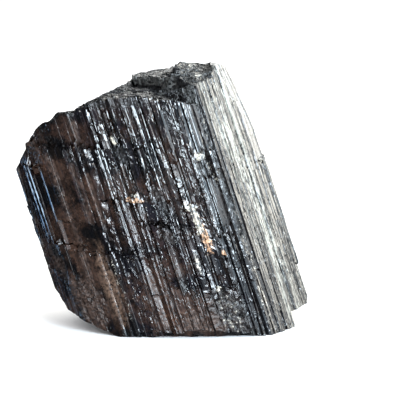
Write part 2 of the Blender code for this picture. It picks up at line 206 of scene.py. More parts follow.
def face_values(u):
    """The row of the table for each place along the section."""
    starts = np.array([row[0] for row in FACES])
    return np.array([row[1:] for row in FACES])[np.searchsorted(starts, u, side="right") - 1]


BAR_SEED = 23
random = np.random.default_rng(BAR_SEED)
bars = []
for rib in knots:
    pitch = face_values(rib[1])[0]
    for side in (0, 1):
        start, end = rib[side], rib[side + 1]
        plain = random.random() < PLAIN_SHARE
        number = 1 if plain else max(1, round((end - start) / pitch * random.uniform(*PITCH_SPREAD)))
        cuts = np.cumsum(random.uniform(*WIDTH_SPREAD, number))
        cuts = np.concatenate([[start], start + (end - start) * cuts / cuts[-1]])
        for k in range(number):
            first, last = side == 0 and k == 0, side == 1 and k == number - 1
            bars.append((cuts[k], cuts[k + 1], plain, side, first, last))
bar_start, bar_end, bar_plain, bar_side, bar_first, bar_last = map(np.array, zip(*bars))
bar_count, bar_width, bar_front = len(bar_start), bar_end - bar_start, bar_start < FRONT_END
print(bar_count, "bars,", int(bar_front.sum()), "of them on the front and the right")

# %% How each bar stands: its height, its turn, its breaks and the slopes down to its grooves
BREAKS, BREAK_LEVELS = 9, (0.5, 55.0)  # chance breaks along each bar, after which it stands anew
GROOVES, PLAIN_GROOVE = (0.03, 0.16), 0.03  # how deep the edges of bars lie
CRESTS, CREST_SHARES = [0.12, 0.07, 0.02, -0.10, -0.26, -0.45], [0.24, 0.2, 0.2, 0.16, 0.12, 0.08]
SUNK_SHARE, SUNK = 0.2, 0.4  # some bars lie deeper
PLAIN_CREST, PLAIN_MOST, PLAIN_TURN = 0.4, 0.02, 0.35  # plain bars stand and turn out less
NEW_TURN, MOST_TURN = 0.45, 2.2  # how much the turn changes at a break, and its limit
PROUD, PROUD_SHARE = (59.4, 61.1), 0.2  # these few bars stand almost level and straight
SHADED, SHADED_TURN = (44.7, 48.3), (1.0, -28.0)  # here both slopes of a rib turn to the front
LEFT_SLOPES, RIGHT_SLOPES, MEAN_CREST = [34, 50, 62], [26, 34, 58], 0.06  # degrees, degrees, mm
SLOPE_NARROW, SLOPE_WIDE = 0.06, 0.36  # how much of a bar a slope takes, at least and at most
_, bar_lively, bar_turn = face_values(bar_start).T
groove = np.where(bar_plain, PLAIN_GROOVE, random.uniform(*GROOVES, bar_count)) * bar_lively
crest = random.choice(CRESTS, (bar_count, BREAKS + 1), p=CREST_SHARES) * bar_lively[:, None]
crest = np.where(bar_plain[:, None], np.minimum(PLAIN_CREST * crest, PLAIN_MOST), crest)
crest -= np.where(random.random(bar_count) < SUNK_SHARE, SUNK, 0.0)[:, None] * bar_lively[:, None]
turn = random.normal(0, 1, (bar_count, 1)) + NEW_TURN * random.normal(0, 1, (bar_count, BREAKS + 1))
turn = np.clip(turn, -MOST_TURN, MOST_TURN) * (bar_turn * np.where(bar_plain, PLAIN_TURN, 1.0))[:, None]
proud = ((bar_start > PROUD[0]) & (bar_start < PROUD[1]))[:, None]
crest, turn = (np.where(proud, PROUD_SHARE * value, value) for value in (crest, turn))
bar_shaded = (bar_start + bar_width / 2 > SHADED[0]) & (bar_start + bar_width / 2 < SHADED[1])
to_front = np.array(SHADED_TURN)[bar_side][:, None] + 0.15 * turn
turn = np.where(bar_shaded[:, None], to_front, turn)
turn = np.tan(np.radians(turn))
chance_breaks = np.sort(random.uniform(*BREAK_LEVELS, (bar_count, BREAKS)), axis=1)
gentle = (bar_start > QUIET_SIDE[0]) & (bar_end < QUIET_SIDE[1])  # bars that hardly stand out


def shoulder(slopes):
    """How wide the slope at one side of each bar is: its drop over the tangent of a chance angle."""
    narrow, wide = SLOPE_NARROW * bar_width, SLOPE_WIDE * bar_width
    tangent = np.tan(np.radians(random.choice(slopes, bar_count)))
    width = np.clip((MEAN_CREST + groove) / tangent, narrow, wide)
    return np.where(bar_shaded, narrow, np.where(gentle, wide, width))


shoulder_left, shoulder_right = shoulder(LEFT_SLOPES), shoulder(RIGHT_SLOPES)
print("slopes, mm:", shoulder_left.min().round(3), "to", shoulder_left.max().round(3))

# %% Columns: where the surface has a line of points up the wall
EDGE, LEFT, MIDDLE, RIGHT, END = 0, 1, 2, 3, 4
COARSE_BACK, FLAT_ENOUGH = 0.8, 0.9  # narrower bars at the back, and flats, get fewer columns
SKEW = 0.16  # each column breaks a little higher or lower than its bar
found = []
for bar in range(bar_count):
    left, right = bar_start[bar] + shoulder_left[bar], bar_end[bar] - shoulder_right[bar]
    places = [(bar_start[bar], EDGE)]
    if bar_front[bar] or bar_width[bar] > COARSE_BACK:
        places.append((left, LEFT))
        if right - left > FLAT_ENOUGH:
            places.append(((left + right) / 2, MIDDLE))
        places.append((right, RIGHT))
    if bar_last[bar]:
        places.append((bar_end[bar], END))
    found += [(u, bar, kind) for u, kind in places]
column_u, column_bar, column_kind = map(np.array, zip(*found))
columns = len(column_u)
lever = np.select([column_kind == LEFT, column_kind == RIGHT], [0.5, -0.5], 0.0)
lever *= (bar_width - shoulder_left - shoulder_right)[column_bar]
skew = random.normal(0, SKEW, columns)
print(columns, "columns, narrowest gap", round(float(np.diff(column_u).min()), 4), "mm")

# %% [markdown]
# ## What broke away
# The tables below are the crystal's history: terraces where the top snapped off, ledges where thin
# ribs came away between two level breaks, and cracks that never opened. They are the same numbers
# that the solid was cut with, so the surface and the solid agree.

# %% Terraces
FAR = 40.0  # beyond the crystal on every side


def left_of(*line):
    """The part of the section to the left of a broken line, which runs from front to back."""
    return [(-FAR, -FAR), *line, (-FAR, FAR)]


def right_of(start, end):
    """The part of the section to the right of a straight line from front to back."""
    return [start, (FAR, -FAR), (FAR, FAR), end]


EVERYWHERE = left_of((FAR, -FAR), (FAR, FAR))
STEP_WALL = [
    (16.7, -13.7), (15.6, -10.8), (12.5, -5.6), (9.6, -1.8), (8.7, 1.6), (5.8, 5.2), (3.4, 8.0), (2.4, FAR),
]
CREST = [(19.9, -8.6), (20.6, -4.8), (20.7, FAR)]
LEDGE_LINE = [(12.4, -5.7), (13.6, -4.2), (12.6, 3.4), (13.4, FAR)]
LEFT_LINE = [(-9.2, -FAR), (-8.4, -5), (-9.6, FAR)]
TOE_LINE = [(19.9, -FAR), (21.4, FAR)]
HEEL_LINE = [(-FAR, -2.0), (-21.0, -2.0), (-20.4, FAR)]
# The outline of each, a point of its floor, the way that the floor dips, and by how many degrees
TERRACES = {
    "crown": (EVERYWHERE, (6.5, 2, 54.4), (0, 1, 0), 0.5),
    "crown_back": (EVERYWHERE, (6.5, 2, 54.0), (-0.1, 1, 0), 12.0),
    "crown_front": (left_of((19.9, -FAR), *CREST), (6.5, 2, 54.0), (0.5, -1, 0), 9.5),
    "front_terrace": (left_of((16.7, -FAR), *STEP_WALL), (-4, -18, 50.2), (-0.8, 0.6, 0), 5.0),
    "right_terrace": (
        [(5.6, -FAR), (16.7, -FAR), *STEP_WALL[:4], (7.2, -1.9)],
        (-2.5, -18, 50.0), (1, 0.25, 0), 12.0,
    ),
    "rear_ledge": (
        [(-FAR, FAR), (-FAR, -1.0), (9.6, -1.8), *LEDGE_LINE],
        (-0.5, -2, 51.9), (-1, 0.3, 0), 10.0,
    ),
    "column_shoulder": (right_of((20.2, -FAR), (19.4, FAR)), (10.4, 4, 54.0), (1, 0.3, 0), 24.0),
    "crest_end": (right_of((19.4, -FAR), (19.4, FAR)), (10, -4.5, 54.3), (0.1, -1, 0), 24.0),
    "column_rim": (right_of((22.6, -FAR), (22.2, FAR)), (13.1, 3, 52.6), (1, -0.1, 0), 50.0),
    "column_corner": (
        [(12.4, -FAR), (17.5, -FAR), (17.5, FAR), *LEDGE_LINE[::-1]],
        (2.6, 0, 53.7), (-1, 0.2, 0), 35.0,
    ),
    "left_slope": (
        [(-9.7, -FAR), (1.6, -FAR), (2.6, FAR), (-10.1, FAR), (-8.9, -5)],
        (-11.6, -4.4, 48.4), (-0.94, 0.24, 0), 27.0,
    ),
    "left_step": (left_of(*LEFT_LINE), (-19, -3, 44.6), (-0.5, 0.87, 0), 10.0),
    "left_notch": (left_of((-14, -FAR), (-14, FAR)), (-23.5, -3, 42.3), (-0.5, 0.87, 0), 10.0),
    "notch_bevel": (
        [(-14.4, -FAR), (-10, -FAR), (-10, FAR), (-14.4, FAR)],
        (-21.1, -4, 45.2), (-1, 0.1, 0), 48.0,
    ),
    "left_bevel": (left_of((-12, -FAR), (-12, FAR)), (-22.4, -4, 44.7), (-1, 0.15, 0), 44.0),
    "left_rim": (left_of((-14, -FAR), (-14, FAR)), (-26.1, -4, 41.0), (-1, 0.1, 0), 63.0),
    "rear_ledge_end": (
        [(-FAR, -4), (5.0, -4), (3.8, 4.4), (2.8, FAR), (-FAR, FAR)],
        (-5, 8, 50.2), (-1, 0.5, 0), 16.0,
    ),
    "rear_slope": ([(-FAR, 8), (FAR, 9), (FAR, FAR), (-FAR, FAR)], (0, 13, 51.5), (-0.2, 1, 0), 36.0),
}
# The same for the parts of the foot that hang clear of the ground
OVERHANGS = {
    "right_toe": (right_of(*TOE_LINE), (28, 0, 3.2), (1, 0, 0), 176.0),
    "left_heel": ([*HEEL_LINE, (-FAR, FAR)], (-20, 0, 5.2), (-1, 0, 0), 170.0),
}
print(len(TERRACES), "terraces,", len(OVERHANGS), "overhangs")

# %% Ledges, cracks and trims
# From and to along the section, from and to in level, and the depth
LEDGES = {
    "shoulder_recess": (3.0, 27.0, 39.2, 60.0, 2.0),
    "shoulder_chip": (9.0, 16.5, 43.0, 60.0, 2.4),
    "shoulder_side": (19.5, 29.6, 39.8, 60.0, 1.3),
    "shoulder_low": (5.5, 17.0, 34.6, 39.4, 0.9),
    "window": (29.6, 35.6, 29.4, 39.4, 0.9),
    "window_foot": (34.0, 39.5, 24.2, 31.0, 1.3),
    "slate_break": (47.5, 52.6, 33.0, 38.2, 1.2),
    "gutter": (53.2, 54.6, 21.0, 60.0, 0.8),
    "brown_plate_side": (24.8, 31.0, -6.0, 17.8, 0.9),
    "brown_plate_top": (15.5, 24.4, 17.6, 24.0, 0.8),
    "left_toe": (3.5, 12.0, -6.0, 12.5, 1.0),
    "foot_scar": (41.5, 48.5, -6.0, 10.4, 1.1),
    "mid_scar": (37.0, 41.0, 9.5, 19.5, 0.8),
    "right_rib_top": (66.0, 83.0, 33.4, 60.0, 0.9),
    "right_rib_break": (70.0, 81.0, -6.0, 11.6, 0.7),
    "back_upper": (88.0, 101.0, 30.0, 60.0, 1.6),
    "back_plate": (104.0, 113.0, -6.0, 21.0, 1.3),
    "back_window": (116.5, 121.5, 22.0, 36.0, 1.1),
    "back_toe": (124.0, 137.0, -6.0, 9.0, 1.8),
    "back_left_top": (126.0, 135.0, 30.5, 60.0, 1.2),
    "back_low": (92.0, 98.0, 6.0, 15.0, 0.9),
    "slate_plate": (48.4, 53.4, 38.3, 60.0, 0.5),
    "slate_low_plate": (48.0, 52.6, 21.5, 32.9, 0.5),
}
# Worn edges: the same, with a depth that grows from nothing at the lower level
WORN = {
    "right_crest_worn": (66.0, 84.0, 33.4, 56.0, 2.75),
}
# From and to along the section, the level, the opening and the depth
CRACKS = {
    "crack_high": (29.0, 39.6, 39.8, 0.45, 1.3),
    "crack_middle": (26.5, 34.5, 28.7, 0.45, 1.2),
    "crack_centre": (32.5, 42.5, 23.8, 0.5, 1.4),
    "crack_left": (10.5, 21.5, 18.6, 0.5, 1.5),
    "crack_left_inner": (20.0, 29.6, 17.6, 0.45, 1.3),
    "crack_low": (30.5, 35.5, 9.2, 0.45, 1.1),
    "crack_shoulder": (7.5, 14.5, 34.5, 0.4, 1.2),
    "crack_back": (96.0, 108.0, 27.5, 0.5, 1.5),
    "crack_back_low": (113.0, 124.0, 14.5, 0.5, 1.4),
    "crack_back_left": (127.0, 137.5, 22.0, 0.45, 1.3),
}
# A point of each trim's plane, and the way that it faces
FOOT_TRIMS = {
    "left_toe_trim": ((-12.0, 0, 0), (-0.36, -0.06, -0.93)),
    "left_heel_trim": ((-18.6, 0, 2.6), (-0.8, 0.1, -0.6)),
    "front_toe_trim": ((0, -17.6, 0), (-0.03, -0.5, -0.85)),
    "right_front_trim": ((14.0, -16.4, 0), (0.04, -0.56, -0.80)),
    "back_toe_trim": ((0, 17.5, 0), (-0.1, 0.55, -0.82)),
}
print(len(LEDGES), "ledges,", len(CRACKS), "cracks,", len(FOOT_TRIMS), "trims")

# %% Small ledges by chance, and one list of everything that is missing
SCAR_SEED, SCAR_COUNT = 5, 46
SCAR_WIDTHS, SCAR_HEIGHTS, SCAR_DEPTHS, SCAR_LEVELS = (0.9, 2.8), (3.0, 15.0), (0.45, 1.0), (1.0, 50.0)


def chance_scars():
    """More ledges of the same kind, drawn by chance over all but the flat side."""
    random = np.random.default_rng(SCAR_SEED)
    found = {}
    for number in range(1, SCAR_COUNT + 1):
        start, width = random.uniform(0, ROUND), random.uniform(*SCAR_WIDTHS)
        low, height = random.uniform(*SCAR_LEVELS), random.uniform(*SCAR_HEIGHTS)
        depth = random.uniform(*SCAR_DEPTHS)
        if not FLAT_SIDE[0] - width < start < FLAT_SIDE[1]:
            found[f"scar_{number}"] = (start, start + width, low, low + height, depth)
    return found


CRACK_RAGGED = 0.55  # the lips of a crack are less ragged than a ledge's breaks
missing = [(*row, 1.0) for row in {**LEDGES, **chance_scars()}.values()]
missing += [
    (a, b, level - opening / 2, level + opening / 2, depth, CRACK_RAGGED)
    for a, b, level, opening, depth in CRACKS.values()
]
missing += [(*row, 1.0) for row in WORN.values()]
print(len(missing), "pieces missing from the wall")

# %% Which bars each missing piece takes, and how ragged its two breaks are
PIECE_SEED, RAGGED, CRACKED_SHARE = 31, 0.3, 0.72  # a crack opens only most of the bars that it crosses
random = np.random.default_rng(PIECE_SEED)
bar_middle = (bar_start + bar_end) / 2
taken = np.array([(bar_middle > a) & (bar_middle < b) for a, b, *_ in missing])
ragged = np.array([row[5] for row in missing])[:, None]
taken &= (random.random(taken.shape) < CRACKED_SHARE) | (ragged > CRACK_RAGGED)
piece_low, piece_high = (
    np.array([row[end] for row in missing])[:, None] + random.normal(0, RAGGED, taken.shape) * ragged
    for end in (2, 3)
)
piece_depth = np.array([row[4] for row in missing])
piece_middle = np.array([(row[0] + row[1]) / 2 for row in missing])
print("bars taken, at most:", int(taken.sum(axis=1).max()))

# %% [markdown]
# ## Chance
# Broken rock is uneven in a way that has no plan. A lattice of chance numbers, blended smoothly, is
# the simplest such surface, and sums of it at several sizes look like rock.

# %% Chance relief and soft-edged zones


def lattice(x, y, seed):
    """Chance numbers from -1 to 1 on a unit lattice, blended between its corners by a smoothstep."""
    table = np.random.default_rng(seed).uniform(-1, 1, (64, 64))
    i, j = np.floor(x).astype(int), np.floor(y).astype(int)
    a, b = x - i, y - j
    a, b = a * a * (3 - 2 * a), b * b * (3 - 2 * b)
    corner = [[table[(i + di) % 64, (j + dj) % 64] for dj in (0, 1)] for di in (0, 1)]
    low = corner[0][0] * (1 - a) + corner[1][0] * a
    high = corner[0][1] * (1 - a) + corner[1][1] * a
    return low * (1 - b) + high * b


def facets(x, y, seed):
    """Angular rock, from -1 to 1: every place belongs to the nearest of a lattice of shifted points,
    and each point carries a small plane of its own, with a height and two slopes."""
    random = np.random.default_rng(seed)
    shift, plane = random.uniform(0, 1, (2, 64, 64)), random.uniform(-1, 1, (3, 64, 64))
    nearest, height = np.full(np.shape(x), 9.0), np.zeros(np.shape(x))
    for di in (-1, 0, 1):
        for dj in (-1, 0, 1):
            i, j = np.floor(x).astype(int) + di, np.floor(y).astype(int) + dj
            a, b = i % 64, j % 64
            dx, dy = x - i - shift[0, a, b], y - j - shift[1, a, b]
            closer = np.hypot(dx, dy) < nearest
            nearest = np.where(closer, np.hypot(dx, dy), nearest)
            own_plane = 0.6 * plane[0, a, b] + plane[1, a, b] * dx + plane[2, a, b] * dy
            height = np.where(closer, own_plane, height)
    return height


def zone(u, level, centre_u, centre_level, half_u, half_level, soft=0.35):
    """1 inside an ellipse on the wall, 0 outside, with a soft and slightly ragged edge: the distance
    from the centre in half widths, plus a little chance, makes a ramp down from 1 to 0 around 1."""
    du = np.mod(u - centre_u + ROUND / 2, ROUND) - ROUND / 2
    r = np.hypot(du / half_u, (level - centre_level) / half_level) + 0.25 * lattice(u * 1.3, level * 1.1, 77)
    return np.clip((1 + soft / 2 - r) / soft, 0, 1)


def zones(u, level, rows, soft=0.35):
    """The highest of several zones at each place."""
    return np.max([zone(u, level, *row, soft=soft) for row in rows], axis=0)


print("a lattice of chance:", lattice(np.arange(4) * 0.5, np.zeros(4), 1).round(2))

# %% Where the wall crumbled
# u, level, half width, half height, how deep the crumbling goes
CRUMBLED = {
    "foot": (44.8, 4.5, 4.4, 5.4, 0.7),
    "foot_left": (38.0, 3.0, 2.4, 3.0, 0.5),
    "centre_pits": (37.8, 21.6, 1.6, 2.0, 0.7),
    "centre_upper": (38.4, 28.5, 1.2, 3.4, 0.5),
    "dark_seam": (45.2, 45.5, 0.5, 3.0, 0.3),
    "gutter_rock": (53.9, 38.0, 0.9, 13.0, 0.6),
    "gutter_low": (54.4, 22.0, 0.8, 8.0, 0.4),
    "mid_chip": (41.6, 15.6, 1.0, 2.4, 0.5),
    "window_top": (34.2, 38.0, 1.6, 2.0, 0.5),
    "left_crust": (10.5, 14.0, 3.2, 4.6, 0.7),
    "left_low": (16.0, 7.0, 4.5, 5.0, 0.5),
    "left_shoulder": (12.0, 40.5, 7.0, 4.5, 0.5),
    "rim_middle": (33.0, 49.0, 9.0, 1.2, 0.4),
    "back_one": (99.0, 20.0, 4.0, 5.0, 0.6),
    "back_two": (118.0, 12.0, 4.0, 6.0, 0.6),
    "back_three": (133.0, 30.0, 4.0, 7.0, 0.6),
}


def crumble(u, level):
    """How crumbled the wall is, 0 to 1, and how deep that goes: the most of its zones, and the most
    of each zone times its own depth."""
    share, depth = np.zeros(np.shape(u)), np.zeros(np.shape(u))
    for *place_and_size, deep in CRUMBLED.values():
        inside = zone(u, level, *place_and_size)
        depth = np.where(inside * deep > depth, inside * deep, depth)
        share = np.maximum(share, inside)
    return share, depth


print(len(CRUMBLED), "crumbled places")

# %% Where the wall stayed smooth, and where other minerals cling to it
# u, level, half width and half height of the smooth places
CALM = {
    "slate_upper": (50.6, 44.5, 3.0, 7.5),
    "upper_grey": (43.6, 43.5, 1.8, 6.5),
    "shoulder": (23.5, 43.5, 6.5, 4.5),
    "steel_bar": (41.4, 29.5, 1.2, 8.0),
    "bright_bar": (35.3, 34.5, 1.0, 6.5),
    "left_quiet": (17.5, 26.0, 8.5, 26.0),
    "left_bars": (25.2, 33.0, 3.0, 7.0),
    "slate_lower": (50.3, 27.5, 2.5, 6.0),
    "brown_plate": (24.0, 9.0, 3.0, 9.0),
}
# The same for the chips of other minerals
CREAM = {
    "chip": (50.1, 37.3, 1.6, 0.75),
    "strip_top": (44.0, 27.6, 1.3, 1.0),
    "strip": (44.5, 24.6, 0.8, 2.8),
    "window_sill": (33.8, 29.8, 1.0, 0.35),
    "low_speck": (44.3, 10.3, 0.6, 0.8),
    "mid_chip": (41.8, 16.0, 0.5, 2.0),
    "block": (33.2, 41.2, 0.6, 0.9),
    "rear_speck": (104.0, 30.0, 1.0, 2.0),
}
ORANGE = {
    "strip_low": (45.0, 20.6, 0.9, 3.0),
    "strip_mid": (44.9, 24.2, 0.5, 2.4),
    "small": (48.2, 17.6, 0.5, 0.8),
    "sill": (33.4, 28.8, 1.7, 0.6),
    "rear": (116.0, 13.0, 1.2, 2.4),
}
print(len(CALM), "smooth places,", len(CREAM) + len(ORANGE), "chips")

# %% What a missing piece leaves, and how a bar stands at a level


def missing_floor(u, level, piece):
    """The floor of a missing piece is flat: its height over the curved section is the depth, plus
    what the curve falls away from the plane that touches it at the piece's middle."""
    centre, out = curve_point(piece_middle[piece]), curve_normal(piece_middle[piece])
    fall = ((curve_point(u) - centre) * out).sum(-1)[:, None]
    depth = piece_depth[piece]
    if piece >= len(missing) - len(WORN):
        low, high = missing[piece][2:4]
        depth = depth * np.clip((level - low) / (high - low), 0, 1)
    return (-depth - fall) / np.clip((curve_normal(u) * out).sum(-1), 0.3, 1)[:, None]


def at_level(values, bar, level):
    """A bar's value, one for each stretch between its chance breaks, at every level of its rows."""
    shifted = level + skew[: len(level), None] if len(level) == columns else level
    part = (shifted[:, :, None] > chance_breaks[bar][:, None, :]).sum(-1)
    return values[bar[:, None], part]


print("floors of the first three pieces:", -piece_depth[:3], "mm")

# %% The wall: its height over the section, at every column and any level
SMOOTHED = 0.75  # how much of its relief a smooth place loses
SWELL, WEAR = 0.04, 0.13  # how far the wall swells, and how far wear chips it
FLOOR_RELIEF = 0.7  # how much of the relief goes on over the floor of a missing piece


def wall_height(level):
    """Height of the wall at each column, for an array of levels with one row to a column: the main
    rib, plus the bar's crest or groove, less whatever broke away at that level."""
    u, bar = column_u[:, None] + 0 * level, column_bar
    own, before = at_level(crest, bar, level), at_level(crest, (bar - 1) % bar_count, level)
    after = at_level(crest, (bar + 1) % bar_count, level)
    bar_face = own + at_level(turn, bar, level) * lever[:, None]
    lower = np.where(column_kind[:, None] == END, np.minimum(own, after), np.minimum(own, before))
    edge = np.minimum(lower, 0) - groove[bar][:, None]
    on_edge = ((column_kind == EDGE) | (column_kind == END))[:, None]
    calm = 1 - SMOOTHED * zones(u, level, CALM.values()) * ~bar_shaded[bar][:, None]
    relief = np.where(on_edge, edge, bar_face) * calm + SWELL * lattice(u * 0.4, level * 0.16, 43)
    height = rib_height(u) + relief
    for piece in range(len(missing)):
        inside = taken[piece]
        whole = inside[bar] & ((column_kind != EDGE) | inside[bar - 1] | bar_first[bar])
        rows = np.flatnonzero(whole)
        if not len(rows):
            continue
        own_bar, shifted = bar[rows], level[rows] + skew[rows][:, None]
        cut = (shifted > piece_low[piece][own_bar][:, None]) & (shifted < piece_high[piece][own_bar][:, None])
        floor = missing_floor(column_u[rows], level[rows], piece) + FLOOR_RELIEF * relief[rows]
        height[rows] = np.where(cut, np.minimum(height[rows], floor), height[rows])
    worn = np.clip(0.55 + 0.9 * lattice(u * 0.23, level * 0.13, 45), 0, 1)
    worn = worn * bar_lively[bar][:, None] * calm
    height = height + WEAR * worn * (1 - on_edge * 0.3) * facets(u * 1.25, level * 0.42, 46)
    _, depth = crumble(u, level)
    rock = facets(u * 1.1, level * 0.9, 51) + 0.6 * facets(u * 2.3, level * 1.7, 52)
    crust = zones(u, level, [*CREAM.values(), *ORANGE.values()])
    return height - depth * (0.35 + 0.55 * rock) + crust * (0.12 + 0.22 * rock)


half_way = wall_height(np.full((columns, 1), 27.0))
print("wall at level 27, mm:", half_way.min().round(2), "to", half_way.max().round(2))

# %% [markdown]
# ## Top and foot
# The top and the foot are floors: for each place in the section, the lowest terrace above it and the
# highest trim below it end the crystal. The point where a floor's plane meets a line up the long axis
# is one division, so whole arrays of places are worked out at once.

# %% Outlines and planes


def inside_outline(p, q, outline):
    """Whether each place is inside a closed outline: an odd number of sides lie to its right."""
    corners = np.array(outline, float)
    found = np.zeros(np.shape(p), bool)
    for (x0, y0), (x1, y1) in zip(corners, np.roll(corners, -1, axis=0)):
        if y0 != y1:
            crosses = (y0 > q) != (y1 > q)
            found ^= crosses & (p < (x1 - x0) * (q - y0) / (y1 - y0) + x0)
    return found


def plane_height(p, q, point, normal):
    """Where on the long axis the line over (p, q) meets a plane: the distance from the line's foot
    to the plane along its normal, over the share of the axis that runs along the normal."""
    start = to_world(p, q, np.zeros(np.shape(p)))
    return ((np.array(point, float) - start) @ normal) / (AXIS @ normal)


def dipping(direction, angle):
    """The normal of a floor that dips by angle, in degrees, towards a level direction: the cosine of
    the angle upwards, and its sine along the direction."""
    level = np.array(direction, float)
    level /= np.linalg.norm(level)
    return np.array([0, 0, 1]) * math.cos(math.radians(angle)) + level * math.sin(math.radians(angle))


print("a floor that dips to the right by 30 degrees faces", dipping((1, 0, 0), 30.0).round(2))

# %% The floors of the top and of the foot


def rim_strip(p):
    """1 on the worn strip along the right rim, and 0 to the left of it."""
    return np.clip((p - 20.4) / 0.6, 0, 1)


def top_height(p, q):
    """The lowest terrace floor over each place, less what broken rock takes off it. The rock is
    rougher on the column, and smoother on the strip along the rim."""
    s = np.full(np.shape(p), 99.0)
    for outline, point, direction, angle in TERRACES.values():
        floor = plane_height(p, q, point, dipping(direction, angle))
        s = np.where(inside_outline(p, q, outline), np.minimum(s, floor), s)
    coarse = lattice(p * 0.55 + 9, q * 0.45, 61)
    rock = 0.65 * facets(p * 0.75, q * 0.6, 62) + 0.4 * facets(p * 1.6, q * 1.3, 63)
    column = np.clip((p - 10) / 4, 0, 1)
    return s - (0.38 + 0.25 * column - 0.5 * rim_strip(p)) * (0.25 + rock) - 0.15 * coarse


def foot_height(p, q):
    """The highest of the ground, the trims and the overhangs under each place."""
    s = plane_height(p, q, (0, 0, 0), np.array([0, 0, 1.0]))
    for point, facing in FOOT_TRIMS.values():
        s = np.maximum(s, plane_height(p, q, point, np.array(facing, float)))
    for outline, point, direction, angle in OVERHANGS.values():
        ceiling = plane_height(p, q, point, dipping(direction, angle))
        s = np.where(inside_outline(p, q, outline), np.maximum(s, ceiling), s)
    return s


at_axis = np.zeros(1)
ends = [height_of(at_axis, at_axis).round(2) for height_of in (foot_height, top_height)]
print("foot and top at the axis, mm:", *ends)

# %% Where the wall ends


def level_of(p, s):
    """Level above the ground of a place in the axis frame: p times the sine of the lean, plus s
    times its cosine."""
    return p * math.sin(LEAN) + s * math.cos(LEAN)


def rim(height_of, guess):
    """Where each column meets a floor: start from a guessed level, and correct it a few times."""
    level = np.full((columns, 1), guess)
    for _ in range(4):
        place = curve_point(column_u) + curve_normal(column_u) * wall_height(level)
        level = level_of(place[:, 0], height_of(place[:, 0], place[:, 1]))[:, None]
    return place, level[:, 0]


top_rim, top_level = rim(top_height, 48.0)
foot_rim, foot_level = rim(foot_height, 1.0)
print("top rim from", top_level.min().round(1), "to", top_level.max().round(1), "mm")

# %% [markdown]
# ## Rows
# A break has to be sharp, so each bar gets two rows of points at every break that crosses it, one
# just below and one just above, and the rest of its rows share out the space between.

# %% Rows of the wall
ROWS = 118
SHARP = 0.03  # half the height over which a break happens
END_ROOM, BREAK_ROOM, CHANCE_ROOM = 0.9, 0.15, 0.7  # from rim and foot, and between two breaks
bar_foot = np.array([foot_level[column_bar == bar].max() for bar in range(bar_count)])
bar_top = np.array([top_level[column_bar == bar].min() for bar in range(bar_count)])


def anchors(bar):
    """The rows of one bar that sit at its breaks: row numbers and levels, from foot to top."""
    low, high = bar_foot[bar] + END_ROOM, bar_top[bar] - END_ROOM
    pieces = taken[:, bar]
    fixed = np.concatenate([piece_low[pieces, bar], piece_high[pieces, bar]])
    kept = []
    for level in sorted(fixed[(fixed > low) & (fixed < high)]):
        if not kept or level - kept[-1] > BREAK_ROOM:
            kept.append(level)
    for level in chance_breaks[bar]:
        if low < level < high and all(abs(level - other) > CHANCE_ROOM for other in kept):
            kept.append(level)
    kept = sorted(kept)
    rows, levels, last = [], [], 0
    for number, level in enumerate(kept):
        row = round((level - low) / (high - low) * (ROWS - 2))
        row = min(max(row, last + 1), ROWS - 3 - 2 * (len(kept) - 1 - number))
        rows += [row, row + 1]
        levels += [level - SHARP, level + SHARP]
        last = row + 1
    return rows, levels


wall_level = np.zeros((columns, ROWS))
for bar in range(bar_count):
    rows, levels = anchors(bar)
    for column in np.flatnonzero(column_bar == bar):
        levels_here = np.array(levels) - skew[column]
        wall_level[column] = np.interp(
            np.arange(ROWS), [0, *rows, ROWS - 1], [foot_level[column], *levels_here, top_level[column]]
        )
height = wall_height(wall_level)
place = curve_point(column_u)[:, None] + curve_normal(column_u)[:, None] * height[..., None]
place[:, 0], place[:, -1] = foot_rim, top_rim
wall_s = (wall_level - place[..., 0] * math.sin(LEAN)) / math.cos(LEAN)
print("wall rows", ROWS, "smallest step", round(float(np.diff(wall_level, axis=1).min()), 3), "mm")

# %% Rings of the top and of the foot
TOP_RINGS, FOOT_RINGS = 38, 6
TOP_CENTRE, FOOT_CENTRE = np.array([4.5, -5.5]), np.array([3.0, 0.0])
# The ring at which each wall starts, the rings that climb it, and its line
TOP_WALLS = [(3, 1, CREST), (13, 2, LEDGE_LINE), (9, 2, LEFT_LINE), (23, 8, STEP_WALL)]
FOOT_WALLS = [(2, 1, TOE_LINE), (2, 1, HEEL_LINE)]


def crossing(start, end, line):
    """How far along each straight path, from 0 to 1, it first crosses a broken line, or 2: cross
    products with the gap between their starts give the shares of the path and of a side."""
    share = np.full(len(start), 2.0)
    path = end - start
    for a, b in zip(np.array(line[:-1], float), np.array(line[1:], float)):
        side = b - a
        turn = path[:, 0] * side[1] - path[:, 1] * side[0]
        turn = np.where(np.abs(turn) < 1e-9, 1e-9, turn)
        gap = a - start
        t = (gap[:, 0] * side[1] - gap[:, 1] * side[0]) / turn
        k = (gap[:, 0] * path[:, 1] - gap[:, 1] * path[:, 0]) / turn
        hit = (t > 0.004) & (t < 0.985) & (k >= 0) & (k <= 1)
        share = np.where(hit, np.minimum(share, t), share)
    return share


